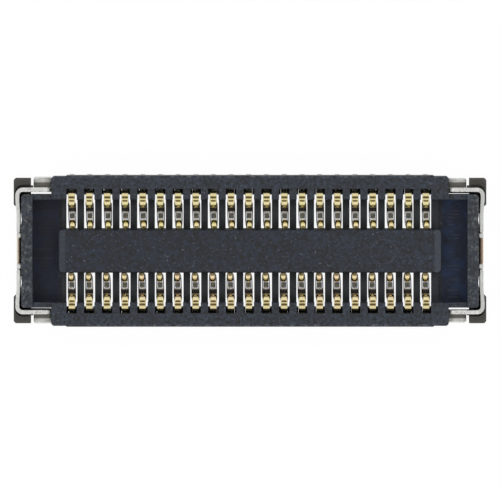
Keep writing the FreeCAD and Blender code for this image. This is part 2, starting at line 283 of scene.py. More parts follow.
# the lead-in at each end of the island catches more light, the right one most
end_light = add(tree, "ShaderNodeMapRange", Value=from_left, From_Min=-ISLAND_X, From_Max=ISLAND_X,
                To_Min=0.22, To_Max=0.36)
island_end = product(tree, band(tree, x, *ISLAND_END, blur=0.012),
                     band(tree, z, *ISLAND_END_HEIGHT, blur=0.02), end_light.outputs[0])
layers.append((island_end, colour("#4a535f")))
blocks = product(tree, band(tree, x, *BLOCK_X, blur=0.01), band(tree, y, *BLOCK_Y, blur=0.01),
                 band(tree, z, *BLOCK_HEIGHT, blur=0.01))
layers.append((blocks, colour("#413f3c")))
print("layers of colour so far:", len(layers))

# %% Resin: the round mark that an ejector pin left on the island
EJECTOR = (3.006, -0.016, 0.0)
EJECTOR_RADIUS = 0.277
MARK_HALF = 0.008
MARK_HEIGHT = (0.84, 1.0)
MARK_SHARE = 0.22

flat_place = add(tree, "ShaderNodeVectorMath", {"operation": "MULTIPLY"}, i0=place, i1=(1, 1, 0))
from_pin = add(tree, "ShaderNodeVectorMath", {"operation": "DISTANCE"}, i0=flat_place.outputs[0], i1=EJECTOR)
pin_ring = band(tree, from_pin.outputs["Value"], EJECTOR_RADIUS - MARK_HALF, EJECTOR_RADIUS + MARK_HALF,
                blur=0.006)
pin_ring = product(tree, pin_ring, band(tree, z, *MARK_HEIGHT, blur=0.005), MARK_SHARE)
layers.append((pin_ring, colour("#5b6470")))
print("ejector mark across in mm:", 2 * EJECTOR_RADIUS)

# %% Resin: floors of the contact field and of the end pockets
CONTACT_FIELD = (-1.0, 4.26)
CONTACT_FLOOR = (0.28, 0.32)
CONTACT_FLOOR_SHARE = 0.5
POCKET = (4.34, 4.90)
POCKET_FLOOR = (0.15, 0.26)
POCKET_FLOOR_SHARE = 0.85

contact_floor = product(tree, band(tree, x, *CONTACT_FIELD, blur=0.01),
                        band(tree, z, *CONTACT_FLOOR, blur=0.005), CONTACT_FLOOR_SHARE)
layers.append((contact_floor, colour("#3a4149")))
pocket_floor = product(tree, band(tree, x, *POCKET, blur=0.03), band(tree, z, *POCKET_FLOOR, blur=0.005))
# the end pockets' floors are painted darker and bluer: partly the resin's own tone, partly painted shade of
# the deep pockets
layers.append((product(tree, pocket_floor, POCKET_FLOOR_SHARE), colour("#02193a")))
# cloudy patches, where the melt arrived last
patches = add(tree, "ShaderNodeTexNoise", Vector=place, Scale=per_mm(0.34), Detail=4.0, Roughness=0.65)
patches = add(tree, "ShaderNodeMapRange", Value=patches.outputs["Fac"], From_Min=0.43, From_Max=0.62,
              To_Max=0.80)
layers.append((product(tree, patches.outputs[0], pocket_floor), colour("#14345f")))
# the left pocket is painted darker still: painted shade
left_pocket = add(tree, "ShaderNodeMapRange", Value=from_left, From_Min=-ISLAND_X, From_Max=ISLAND_X,
                  To_Min=0.75, To_Max=0.0)
layers.append((product(tree, pocket_floor, left_pocket.outputs[0]), colour("#020d26")))
print("layers of colour so far:", len(layers))

# %% Resin: cutter lines and scratches in the end pockets
CUTTER_STEP = 0.078
LINE_WITHIN_STEP = (0.40, 0.60)
LINED = (4.47, 4.74)
SCRATCHES = [(-0.186, -0.168, 0.006), (0.018, 0.032, 0.010)]
SCRATCHED = (-4.86, -4.46)
SCRATCH_SHARE = 0.30

# the cutter's fine lines lie a step apart and come and go, and show most in the right pocket
stretched = add(tree, "ShaderNodeMapping", Vector=place, Scale=(per_mm(0.30), per_mm(CUTTER_STEP), 1.0))
lines = add(tree, "ShaderNodeTexNoise", Vector=stretched.outputs[0], Scale=1.0, Detail=1.0)
lines = add(tree, "ShaderNodeMapRange", Value=lines.outputs["Fac"], From_Min=0.46, From_Max=0.60)
in_steps = add(tree, "ShaderNodeSeparateXYZ", Vector=stretched.outputs[0]).outputs["Y"]
within_step = add(tree, "ShaderNodeMath", {"operation": "FRACT"}, i0=in_steps).outputs[0]
lines = product(tree, lines.outputs[0], band(tree, within_step, *LINE_WITHIN_STEP, blur=0.14))
right_pocket = add(tree, "ShaderNodeMapRange", Value=from_left, From_Min=4.44, From_Max=4.50, To_Min=0.15,
                   To_Max=0.65)
lines = product(tree, lines, pocket_floor, band(tree, x, *LINED, blur=0.03), right_pocket.outputs[0])
layers.append((lines, colour("#4d5664")))

# two longer scratches cross the left pocket
scratches = [band(tree, from_front, start, end, blur) for start, end, blur in SCRATCHES]
scratch = add(tree, "ShaderNodeMath", {"operation": "MAXIMUM"}, i0=scratches[0], i1=scratches[1])
scratch = product(tree, scratch.outputs[0], pocket_floor, band(tree, from_left, *SCRATCHED, blur=0.02),
                  SCRATCH_SHARE)
layers.append((scratch, colour("#4d5664")))
print("layers of colour:", len(layers))

# %% Resin: sheen and grain
LOW_DOWN = (-1.0, 0.45)
RESIN_GRAIN = 0.007

# low faces were moulded against polished steel, so they are smoother, and the ends have the deepest grain
low_down = band(tree, z, *LOW_DOWN, blur=0.10)
rough = add(tree, "ShaderNodeMapRange", Value=low_down, To_Min=0.52, To_Max=0.34)
grain = add(tree, "ShaderNodeTexNoise", Vector=place, Scale=per_mm(0.06), Detail=3.0, Roughness=0.6)
at_ends = band(tree, x, *BLOCK_X, blur=0.02)
grain_share = add(tree, "ShaderNodeMapRange", Value=at_ends, To_Min=0.40, To_Max=1.0)
grain_height = product(tree, grain.outputs["Fac"], grain_share.outputs[0])
bump = add(tree, "ShaderNodeBump", Strength=0.8, Distance=RESIN_GRAIN * MM, Height=grain_height)
# the layers of colour, one over the other
for share, shade in layers:
    tone = add(tree, "ShaderNodeMix", {"data_type": "RGBA"}, Factor=share, A=tone.outputs[2], B=shade)
skin = add(tree, "ShaderNodeBsdfPrincipled", Base_Color=tone.outputs[2], Roughness=rough.outputs[0],
           IOR=1.55, Normal=bump.outputs[0])
add(tree, "ShaderNodeOutputMaterial", Surface=skin.outputs[0])
print("resin nodes:", len(tree.nodes))

# %% [markdown]
# ## The moulding
# A moulded edge is never knife sharp: the tool's corners leave a radius of about a hundredth of a
# millimetre. The measured solid is copied, its loose triangles are merged to clean faces, and its outer
# edges above the contact floor are rounded. The work is done in millimetres, because the edge tools lose
# their footing on faces a few micrometres across.

# %% Softened copies of solids
FLOOR_TOP = 0.35
FIELD_END = 4.30
EDGE_DEGREES = 28
CREASE_DEGREES = 50
FLAT_DEGREES = 0.8
MERGE_WITHIN = 0.0004
EDGE_RADIUS = 0.012


def stands_out(edge):
    """Whether an edge is an outer one that catches the light, and isn't down in the floor's narrow slots."""
    if len(edge.link_faces) != 2 or not edge.is_convex:
        return False
    if edge.calc_face_angle(0) < math.radians(EDGE_DEGREES):
        return False
    return max(v.co.z for v in edge.verts) > FLOOR_TOP or abs(edge.verts[0].co.x) > FIELD_END


def softened(node, name, radius_mm):
    """A copy of a CAD node with its outer edges rounded, its place in its mesh."""
    mesh = bpy.data.meshes.new(name)
    shape = bmesh.new()
    shape.from_mesh(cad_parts[node].data)
    shape.transform(Matrix.Scale(1 / MM, 4))
    bmesh.ops.remove_doubles(shape, verts=shape.verts, dist=MERGE_WITHIN)
    bmesh.ops.dissolve_limit(shape, angle_limit=math.radians(FLAT_DEGREES), verts=shape.verts,
                             edges=shape.edges)
    outer_edges = [edge for edge in shape.edges if stands_out(edge)]
    bmesh.ops.bevel(shape, geom=outer_edges, offset=radius_mm, offset_type="OFFSET", segments=2, profile=0.5,
                    affect="EDGES", clamp_overlap=False)
    bmesh.ops.triangulate(shape, faces=[f for f in shape.faces if len(f.verts) > 4])
    shape.transform(Matrix.Scale(MM, 4))
    for face in shape.faces:
        face.smooth = True
    for edge in shape.edges:
        edge.smooth = edge.calc_face_angle(0) < math.radians(CREASE_DEGREES)
    shape.to_mesh(mesh)
    shape.free()
    obj = bpy.data.objects.new(name, mesh)
    bpy.context.scene.collection.objects.link(obj)
    return obj


moulding = softened("housing", "moulding", EDGE_RADIUS)
moulding.data.materials.append(resin)
weighted = moulding.modifiers.new("even shading", "WEIGHTED_NORMAL")
weighted.keep_sharp = True
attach(moulding, "root")
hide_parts("housing")
print("moulding faces:", len(moulding.data.polygons))

# %% [markdown]
# ## One contact strip
# Each contact is stamped flat, then bent: solder tail, leg in the wall, hook over the top, sprung leg,
# base, and a tip arm beside the island. The strip is swept here as the press bends it, run by run and bend
# by bend, from the measured solid's sizes, except that its tip arm leans a little nearer the island. Its
# surface remembers how far along and across the strip each point lies.

# %% Path of the strip
THICK = 0.07
TAIL_END = (1.7265, 0.035)
# runs are lengths; bends are a radius, the degrees turned, left being positive, and the number of steps
STEPS = {
    "tail": ("run", 0.3285, 3),
    "tail bend": ("bend", 0.070, -90, 5),
    "leg": ("run", 0.6325, 3),
    "shoulder": ("bend", 0.070, 50, 5),
    "crest": ("bend", 0.1446, 55, 8),
    "nose": ("bend", 0.1446, 66.34, 20),
    "sprung leg": ("run", 0.180, 12),
    "lean": ("bend", 0.150, 8.66, 2),
    "drop": ("run", 0.2516, 3),
    "heel": ("bend", 0.165, -90, 10),
    "base": ("run", 0.1997, 4),
    "toe": ("bend", 0.080, -83.4, 6),
    "tip arm": ("run", 0.5844, 24),
}


def strip_path(start, heading, steps):
    """The stations along a bent strip's middle, as y, z, heading and length, and where each step ends."""
    y, z = start
    angle = math.radians(heading)
    length = 0.0
    stations = [(y, z, angle, length)]
    ends = {}
    for name, step in steps.items():
        parts = step[-1]
        for _ in range(parts):
            if step[0] == "run":
                part = step[1] / parts
                turn = 0.0
                chord = part
            else:
                turn = math.radians(step[2]) / parts
                part = abs(turn) * step[1]
                chord = 2 * step[1] * math.sin(abs(turn) / 2)
            angle += turn / 2
            y += chord * math.cos(angle)
            z += chord * math.sin(angle)
            angle += turn / 2
            length += part
            stations.append((y, z, angle, length))
        ends[name] = length
    return stations, ends


path, ends = strip_path(TAIL_END, 180, STEPS)
print("stations:", len(path), "steps end at:", {name: round(end, 3) for name, end in ends.items()})
print("arm tip at y, z:", [round(v, 3) for v in path[-1][:2]])

# %% Bumps coined into the strip
def arc(centre, radius, start, end, count):
    """Points on an arc in y and z, from one angle to another in degrees."""
    angles = [math.radians(start + (end - start) * i / (count - 1)) for i in range(count)]
    return [(centre[0] + radius * math.cos(a), centre[1] + radius * math.sin(a)) for a in angles]


def between(marks, place):
    """The value at a place, from a list of places and values."""
    for (a, low), (b, high) in zip(marks, marks[1:]):
        if place <= b:
            share = max(0.0, (place - a) / (b - a))
            return low + (high - low) * share
    return marks[-1][1]


def face_point(length):
    """The point in y and z on the strip's face at this length."""
    y = between([(station[3], station[0]) for station in path], length)
    z = between([(station[3], station[1]) for station in path], length)
    angle = between([(station[3], station[2]) for station in path], length)
    return y + math.sin(angle) * THICK / 2, z - math.cos(angle) * THICK / 2


# the ridge of each bump in y and z, and how square it is across on the way: 2 is round, and 12 nearly flat
HOOK_RIDGE = [(1.158, 0.8525), (1.152, 0.8514), (1.145, 0.8509)] + arc((1.137, 0.6857), 0.165, 90, 200, 12)
HOOK_ACROSS = [(0.0, 12.0), (0.30, 10.0), (0.45, 5.0), (0.62, 3.0), (1.0, 2.4)]
TIP_RIDGE = arc((0.530, 0.570), 0.170, -45, 90, 14)
TIP_ACROSS = [(0.0, 3.5), (0.30, 4.5), (0.50, 6.0), (0.70, 8.0), (1.0, 10.0)]
TIP = ends["tip arm"]
TIP_BUMP_LENGTH = 0.4386
# each bump: where it starts and ends along the strip, its ridge and its form across
BUMPS = [
    (ends["crest"], ends["sprung leg"], HOOK_RIDGE, HOOK_ACROSS),
    (TIP - TIP_BUMP_LENGTH, TIP, TIP_RIDGE, TIP_ACROSS),
]
# a length this much past a bump's end still belongs to it
SLACK = 1e-4
# width of the strip along its length
WIDTHS = [(0.0, 0.115), (0.06, 0.142), (0.18, 0.1598), (ends["leg"], 0.1598), (ends["shoulder"], 0.152),
          (ends["crest"], 0.154), (ends["nose"], 0.168), (ends["sprung leg"], 0.176), (ends["drop"], 0.186),
          (ends["heel"], 0.186), (ends["base"], 0.180), (ends["toe"], 0.166), (TIP - 0.29, 0.150),
          (TIP - 0.09, 0.138), (TIP, 0.116)]
# how much of the full edge rounding the strip has along its length
EDGES = [(0.0, 0.6), (ends["tail bend"], 0.3), (ends["leg"], 0.3), (ends["crest"], 0.35),
         (ends["sprung leg"], 0.6), (ends["heel"], 1.0), (TIP, 1.0)]
# how far the strip strays sideways by its tip
STRAY = [(0.0, 0.0), (ends["sprung leg"], 0.0), (ends["heel"], 0.008), (ends["toe"], 0.012), (TIP, 0.0195)]


def along_ridge(ridge, share):
    """The point at a share of the ridge's length."""
    points = [Vector(p) for p in ridge]
    gone = [0.0]
    for a, b in zip(points, points[1:]):
        gone.append(gone[-1] + (b - a).length)
    target = share * gone[-1]
    return Vector((between(list(zip(gone, [p.x for p in points])), target),
                   between(list(zip(gone, [p.y for p in points])), target)))


def bump_offset(length, base, across):
    """How far a bump lifts the strip's face at this place."""
    for start, end, ridge, form in BUMPS:
        if start <= length <= end + SLACK:
            share = min(1.0, (length - start) / (end - start))
            finish = [] if end == TIP else [face_point(end)]
            lift = along_ridge([face_point(start)] + ridge + finish, share) - base
            fall = math.sqrt(max(0.0, 1 - abs(across) ** between(form, share)))
            return lift * fall
    return Vector((0.0, 0.0))


print("bumps:", len(BUMPS))

# %% Mesh of one strip
# places across the strip and how far the face drops there: its edges are rounded, and the gentle slope
# beside them catches the light
FACE = [(-1.0, 0.020), (-0.96, 0.009), (-0.91, 0.0045), (-0.88, 0.0036), (-0.68, 0.0002), (-0.52, 0.0),
        (-0.27, 0.0), (0.0, 0.0), (0.27, 0.0), (0.52, 0.0), (0.68, 0.0002), (0.88, 0.0036), (0.91, 0.0045),
        (0.96, 0.009), (1.0, 0.020)]
BACK = [(1.0, 0.012), (0.88, 0.0), (0.0, 0.0), (-0.88, 0.0), (-1.0, 0.012)]
# the very end of the tail has this share of the thickness
TAIL_THIN = 0.72


def sweep(shape, rings):
    """Skins a row of rings with the same number of vertices, and closes both ends."""
    count = len(rings[0])
    for first, second in zip(rings, rings[1:]):
        for i in range(count):
            j = (i + 1) % count
            shape.faces.new((first[i], first[j], second[j], second[i]))
    shape.faces.new(rings[0])
    shape.faces.new(list(reversed(rings[-1])))


def finished_mesh(shape, name):
    """Turns a shape in millimetres to a smooth mesh in metres, with its normals outward."""
    bmesh.ops.recalc_face_normals(shape, faces=shape.faces)
    for face in shape.faces:
        face.smooth = len(face.verts) == 4
    shape.transform(Matrix.Scale(MM, 4))
    mesh = bpy.data.meshes.new(name)
    shape.to_mesh(mesh)
    shape.free()
    return mesh


def build_strip():
    """One contact as a closed mesh, which remembers each point's place along and across the strip."""
    shape = bmesh.new()
    along_layer = shape.verts.layers.float.new("along")
    across_layer = shape.verts.layers.float.new("across")
    rings = []
    for number, (y, z, angle, length) in enumerate(path):
        out = Vector((math.sin(angle), -math.cos(angle)))
        thin = TAIL_THIN if number == 0 else 1.0
        half_width = between(WIDTHS, length) / 2
        edge = between(EDGES, length)
        ring = []
        for side, section in ((1, FACE), (-1, BACK)):
            for across, drop in section:
                middle = Vector((y, z)) + out * side * (THICK / 2 - drop * edge) * thin
                if side == 1:
                    middle += bump_offset(length, Vector((y, z)) + out * THICK / 2, across)
                vert = shape.verts.new((between(STRAY, length) + across * half_width, middle.x, middle.y))
                vert[along_layer] = length
                vert[across_layer] = across
                ring.append(vert)
        rings.append(ring)
    sweep(shape, rings)
    return finished_mesh(shape, "contact strip")


strip_mesh = build_strip()
strip = bpy.data.objects.new("contact strip", strip_mesh)
bpy.context.scene.collection.objects.link(strip)
print("faces of one strip:", len(strip_mesh.polygons))

# %% [markdown]
# ## Plating
# The contacts are copper alloy plated with nickel all over, and with gold on the hook and the tip arm,
# where they touch the plug. A dark band below the hook is painted shade, where the hook's bump shades the
# strip's bend into the base. The solder tails are a dull white tin. The bands could be painted on an image.
# Here they follow the strip's length, which each point of its surface remembers, so that they bend with the
# strip and stay sharp.

# %% Plating: gold, the cut end, and the sheared sides with painted shade
# a band that runs to an end of the strip goes well past it
BEFORE_START = -1.0
PAST_END = 10.0
HOOK_TOP = (ends["leg"], ends["crest"] + 0.06)
HOOK_SHARE = 0.7
CUT_SHARE = 0.55
SHEARED_AND_SHADED_SHARE = 0.85

gold, tree = new_material("gold plate over nickel")
along = add(tree, "ShaderNodeAttribute", {"attribute_name": "along"}).outputs["Fac"]
across = add(tree, "ShaderNodeAttribute", {"attribute_name": "across"}).outputs["Fac"]
tint = add(tree, "ShaderNodeAttribute", {"attribute_name": "tint"}).outputs["Fac"]
aside = add(tree, "ShaderNodeMath", {"operation": "ABSOLUTE"}, i0=across).outputs[0]
place = position_mm(tree)
tone = add(tree, "ShaderNodeMix", {"data_type": "RGBA"}, Factor=tint, A=colour("#e5dba0"),
           B=colour("#ebd6ae"))
hook = product(tree, band(tree, along, *HOOK_TOP, blur=0.03), HOOK_SHARE)
# the cut end of the tip arm is bare alloy, darker and duller than the plated face; the sheared sides are
# darker and duller too, partly bare alloy and partly painted shade along the strip's curved edges
cut_end = product(tree, band(tree, along, TIP - 0.030, PAST_END, blur=0.015), CUT_SHARE)
sheared_and_shaded = add(tree, "ShaderNodeMapRange", Value=aside, From_Min=0.80, From_Max=0.94).outputs[0]
sheared_and_shaded = product(tree, sheared_and_shaded, band(tree, along, HOOK_TOP[1], PAST_END, blur=0.03))
layers = [
    (hook, colour("#d2c697")),
    (cut_end, colour("#75643c")),
    (product(tree, sheared_and_shaded, SHEARED_AND_SHADED_SHARE), colour("#5a4a22")),
]
print("layers over the gold:", len(layers))

# %% Plating: the nickel base and its coined dish
SHADE_BAND = (ends["heel"] - 0.150, ends["heel"] - 0.008)
NICKEL_END = ends["toe"] + 0.01
DISH = (ends["heel"] + 0.030, ends["base"] - 0.034)
BRUSH_STRIPES = 16.0

nickel = band(tree, along, SHADE_BAND[0], NICKEL_END, blur=0.008)
layers.append((nickel, colour("#f2f2f1")))
# the base is coined a little lower inside a narrow frame, and the frame is brushed along the strip
middle = add(tree, "ShaderNodeMapRange", Value=aside, From_Min=0.80, From_Max=0.64).outputs[0]
dish_length = band(tree, along, *DISH, blur=0.0135)
dish = product(tree, middle, dish_length)
hatch = add(tree, "ShaderNodeTexNoise", Vector=place, Scale=per_mm(0.035), Detail=1.0)
hatch = add(tree, "ShaderNodeMapRange", Value=hatch.outputs["Fac"], From_Min=0.42, From_Max=0.60,
            To_Min=0.45, To_Max=1.0)
# the dish's darker, bluer colour is painted reflection of the dark lens overhead, on top of its coined dip
layers.append((product(tree, dish, hatch.outputs[0]), colour("#aab7da")))
out_of_dish = add(tree, "ShaderNodeMath", {"operation": "SUBTRACT"}, i0=1.0, i1=dish).outputs[0]
dish_frame = product(tree, out_of_dish, band(tree, along, SHADE_BAND[1], NICKEL_END, blur=0.006))
brush_place = add(tree, "ShaderNodeCombineXYZ", X=across, Y=along)
brush_place = add(tree, "ShaderNodeMapping", Vector=brush_place.outputs[0],
                  Scale=(BRUSH_STRIPES, per_mm(0.5), 1.0))
brush = add(tree, "ShaderNodeTexNoise", Vector=brush_place.outputs[0], Scale=1.0, Detail=1.0)
brush = product(tree, brush.outputs["Fac"], dish_frame)
print("dish length in mm:", round(DISH[1] - DISH[0], 3))

# %% Plating: the painted shade band, the tinned tail and the finish
TAIL = (BEFORE_START, 0.40)
DISH_DEPTH = 0.004
BRUSH_DEPTH = 0.0035

shade_band = band(tree, along, *SHADE_BAND, blur=0.008)
tail = band(tree, along, *TAIL, blur=0.03)
# the dark band below the hook is painted shade, where the hook's bump shades the bend
layers.append((shade_band, colour("#4a4341")))
layers.append((tail, colour("#f6f6f7")))
marks = add(tree, "ShaderNodeTexNoise", Vector=place, Scale=per_mm(0.05), Detail=3.0, Roughness=0.6)
marks = add(tree, "ShaderNodeMapRange", Value=marks.outputs["Fac"], From_Min=0.30, From_Max=0.70,
            To_Min=0.07, To_Max=0.15)
dull = add(tree, "ShaderNodeMath", {"operation": "MAXIMUM"}, i0=nickel, i1=tail)
rough = add(tree, "ShaderNodeMapRange", Value=dull.outputs[0], To_Min=0.0, To_Max=0.05).outputs[0]
# the frame is roughest beside the dish's two ends
frame_ends = add(tree, "ShaderNodeMapRange", Value=dish_length, To_Min=0.22, To_Max=0.0).outputs[0]
# what adds to the roughness: the marks all over, then each dull place and by how much
for extra in (marks.outputs[0], product(tree, shade_band, 0.4), product(tree, dish_frame, frame_ends),
              product(tree, sheared_and_shaded, 0.18), product(tree, tail, 0.15)):
    rough = add(tree, "ShaderNodeMath", {"operation": "ADD"}, i0=rough, i1=extra).outputs[0]
coined = add(tree, "ShaderNodeBump", Strength=1.0, Distance=-DISH_DEPTH * MM, Height=dish)
coined = add(tree, "ShaderNodeBump", Strength=1.0, Distance=BRUSH_DEPTH * MM, Height=brush,
             Normal=coined.outputs[0])
# the painted shade band is given little metal, so that it stays dark
bare_metal = add(tree, "ShaderNodeMapRange", Value=shade_band, To_Min=1.0, To_Max=0.1)
# the layers of colour, one over the other
for share, shade in layers:
    tone = add(tree, "ShaderNodeMix", {"data_type": "RGBA"}, Factor=share, A=tone.outputs[2], B=shade)
metal = add(tree, "ShaderNodeBsdfPrincipled", Base_Color=tone.outputs[2],
            Metallic=bare_metal.outputs[0], Roughness=rough, Normal=coined.outputs[0])
add(tree, "ShaderNodeOutputMaterial", Surface=metal.outputs[0])
print("plating nodes:", len(tree.nodes))

# %% [markdown]
# ## Two rows from one strip
# A rule places every contact: one strip each 0.40 mm along a line, and the second row is the first turned
# half round. Geometry Nodes follow that rule. Each strip also sits a few micrometres off its place, as
# pressed-in pieces do.

# %% Rows of contacts
rows = bpy.data.node_groups.new("rows of contacts", "GeometryNodeTree")
INPUTS = [
    ("Strip", "NodeSocketObject", strip),
    ("Count", "NodeSocketInt", 21),
    ("Pitch", "NodeSocketFloat", 0.40 * MM),
    ("Row shift", "NodeSocketFloat", -0.0275 * MM),
    ("Sideways play", "NodeSocketFloat", 0.006 * MM),
    ("Seed", "NodeSocketInt", 7),
    ("Plating", "NodeSocketMaterial", gold),
]
for label, kind, _ in INPUTS:
    rows.interface.new_socket(label, in_out="INPUT", socket_type=kind)
rows.interface.new_socket("Contacts", in_out="OUTPUT", socket_type="NodeSocketGeometry")
given = add(rows, "NodeGroupInput").outputs
steps_between = add(rows, "ShaderNodeMath", {"operation": "SUBTRACT"}, i0=given["Count"], i1=1.0)
row_length = add(rows, "ShaderNodeMath", {"operation": "MULTIPLY"}, i0=steps_between.outputs[0],
                 i1=given["Pitch"])
row_start = add(rows, "ShaderNodeMath", {"operation": "MULTIPLY"}, i0=row_length.outputs[0], i1=-0.5)
start = add(rows, "ShaderNodeCombineXYZ", X=row_start.outputs[0])
offset = add(rows, "ShaderNodeCombineXYZ", X=given["Pitch"])
line = add(rows, "GeometryNodeMeshLine", {"mode": "OFFSET"}, Count=given["Count"],
           Start_Location=start.outputs[0], Offset=offset.outputs[0])
source = add(rows, "GeometryNodeObjectInfo", Object=given["Strip"])
play_back = add(rows, "ShaderNodeMath", {"operation": "MULTIPLY"}, i0=given["Sideways play"], i1=-1.0)
least = add(rows, "ShaderNodeCombineXYZ", X=play_back.outputs[0])
most = add(rows, "ShaderNodeCombineXYZ", X=given["Sideways play"])
row_slide = add(rows, "ShaderNodeCombineXYZ", X=given["Row shift"])
both = add(rows, "GeometryNodeJoinGeometry")
# the least and most tint of the front row's and the back row's gold
TINTS = [(0.0, 0.6), (0.3, 1.0)]
for row, (least_tint, most_tint) in enumerate(TINTS):
    seed = add(rows, "FunctionNodeIntegerMath", {"operation": "ADD"}, i0=given["Seed"], i1=row)
    shift = add(rows, "FunctionNodeRandomValue", {"data_type": "FLOAT_VECTOR"}, i0=least.outputs[0],
                i1=most.outputs[0], Seed=seed.outputs[0])
    tint = add(rows, "FunctionNodeRandomValue", {"data_type": "FLOAT"}, i2=least_tint, i3=most_tint,
               Seed=seed.outputs[0])
    placed = add(rows, "GeometryNodeInstanceOnPoints", Points=line.outputs[0],
                 Instance=source.outputs["Geometry"])
    moved = add(rows, "GeometryNodeTranslateInstances", Instances=placed.outputs[0],
                Translation=shift.outputs[0])
    marked = add(rows, "GeometryNodeStoreNamedAttribute", {"data_type": "FLOAT", "domain": "INSTANCE"},
                 Geometry=moved.outputs[0], Name="tint", Value=tint.outputs[1])
    turned = add(rows, "GeometryNodeTransform", Geometry=marked.outputs[0],
                 Rotation=(0.0, 0.0, math.pi * row))
    slid = add(rows, "GeometryNodeTransform", Geometry=turned.outputs[0], Translation=row_slide.outputs[0])
    rows.links.new(slid.outputs[0], both.inputs[0])
solid = add(rows, "GeometryNodeRealizeInstances", Geometry=both.outputs[0])
finished = add(rows, "GeometryNodeSetMaterial", Geometry=solid.outputs[0], Material=given["Plating"])
add(rows, "NodeGroupOutput", Contacts=finished.outputs[0])


def from_tree(tree, name, inputs):
    """A plain mesh object made by a Geometry Nodes tree. The tree itself doesn't stay on it."""
    carrier = bpy.data.objects.new(name, bpy.data.meshes.new(name))
    bpy.context.scene.collection.objects.link(carrier)
    modifier = carrier.modifiers.new("tree", "NODES")
    modifier.node_group = tree
    sockets = [i for i in tree.interface.items_tree if i.in_out == "INPUT"]
    for socket, (_, _, value) in zip(sockets, inputs):
        modifier[socket.identifier] = value
    bpy.context.view_layer.update()
    evaluated = carrier.evaluated_get(bpy.context.evaluated_depsgraph_get())
    made = bpy.data.meshes.new_from_object(evaluated)
    carrier.modifiers.remove(modifier)
    carrier.data = made
    return carrier


contacts = from_tree(rows, "contacts", INPUTS)
bpy.data.objects.remove(strip)
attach(contacts, "root")
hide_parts(*[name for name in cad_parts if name.startswith("contact")])
print("contact faces:", len(contacts.data.polygons))
print("their attributes:", [attribute.name for attribute in contacts.data.attributes])

# %% [markdown]
# ## The end clips
# A strip of tin-plated copper alloy stands on edge round each end. Its two arms hold the long walls, a foot
# on each arm is soldered to the board, and the middle of the end plate is cut lower, between two round
# knobs. The edges are rounded by the plating. The bend of each foot is coloured a darker brown, and where
# the strip was sheared between the knobs the bare metal shows. Rounding the measured solid's edges would
# leave its bends in flat steps. A rounded ring swept along the strip gives smooth bends.

# %% Tin: clouds, pits and flecks
END_PLATE = (5.17, 6.0)
END_PLATE_SHARE = 0.6
RIGHT_PLATE_SHARE = 0.8
ARM_X = (4.40, 5.05)
ARM_ACROSS = (1.30, 1.43)
ARM_HEIGHT = (0.78, 1.0)

tin, tree = new_material("tin plate, matt, brown where it was bent")
place = position_mm(tree)
x, y, z = side_distances(tree, place)
from_left = add(tree, "ShaderNodeSeparateXYZ", Vector=place).outputs["X"]
right_end = add(tree, "ShaderNodeMath", {"operation": "GREATER_THAN"}, i0=from_left, i1=0.0).outputs[0]
cloud = add(tree, "ShaderNodeTexNoise", Vector=place, Scale=per_mm(0.11), Detail=4.0, Roughness=0.65)
cloud = add(tree, "ShaderNodeMapRange", Value=cloud.outputs["Fac"], From_Min=0.32, From_Max=0.68)
tone = add(tree, "ShaderNodeMix", {"data_type": "RGBA"}, Factor=cloud.outputs[0], A=colour("#dedfdc"),
           B=colour("#f4f4f2"))
end_plate = product(tree, band(tree, x, *END_PLATE, blur=0.01), END_PLATE_SHARE)
pits = add(tree, "ShaderNodeTexNoise", Vector=place, Scale=per_mm(0.045), Detail=2.0, Roughness=0.7)
pits = add(tree, "ShaderNodeMapRange", Value=pits.outputs["Fac"], From_Min=0.64, From_Max=0.74, To_Max=0.6)
on_arm = product(tree, band(tree, x, *ARM_X, blur=0.08), band(tree, y, *ARM_ACROSS, blur=0.01),
                 band(tree, z, *ARM_HEIGHT, blur=0.02))
flecks = add(tree, "ShaderNodeTexNoise", Vector=place, Scale=per_mm(0.060), Detail=4.0, Roughness=0.8)
flecks = add(tree, "ShaderNodeMapRange", Value=flecks.outputs["Fac"], From_Min=0.55, From_Max=0.66,
             To_Max=0.75)
layers = [
    (end_plate, colour("#dadbd9")),
    (product(tree, end_plate, right_end, RIGHT_PLATE_SHARE), colour("#c4c8c5")),
    (pits.outputs[0], colour("#77736a")),
    (product(tree, flecks.outputs[0], on_arm), colour("#6e6c66")),
]
print("layers over the tin:", len(layers))

# %% Tin: bends, cut faces and the finish
BEND_Y = (1.418, 1.540)
BEND_HEIGHT = (-1.0, 0.34)
BEND_SHARE = 0.94
CUT_X = (5.10, 5.40)
CUT_Y = (-1.0, 0.285)
CUT_HEIGHT = (0.55, 0.70)
CUT_OUTER = (5.228, 5.40)
TIN_GRAIN = 0.008

# the bend of each foot is coloured a darker brown
bend_brown = product(tree, band(tree, y, *BEND_Y, blur=0.012), band(tree, z, *BEND_HEIGHT, blur=0.02),
                     BEND_SHARE)
layers.append((bend_brown, colour("#625f58")))
# the cut between the knobs shows bare metal, paler along its outer edge, and browner at the right end; its
# darker inner part is painted shade
cut_top = product(tree, band(tree, x, *CUT_X, blur=0.01), band(tree, y, *CUT_Y, blur=0.004),
                  band(tree, z, *CUT_HEIGHT, blur=0.01))
bare_edge = add(tree, "ShaderNodeMix", {"data_type": "RGBA"}, Factor=right_end, A=colour("#ebe0ce"),
                B=colour("#bba48c"))
cut_tone = add(tree, "ShaderNodeMix", {"data_type": "RGBA"}, Factor=band(tree, x, *CUT_OUTER, blur=0.006),
               A=colour("#817265"), B=bare_edge.outputs[2])
layers.append((cut_top, cut_tone.outputs[2]))
grain = add(tree, "ShaderNodeTexNoise", Vector=place, Scale=per_mm(0.06), Detail=3.0, Roughness=0.6)
bump = add(tree, "ShaderNodeBump", Strength=0.8, Distance=TIN_GRAIN * MM, Height=grain.outputs["Fac"])
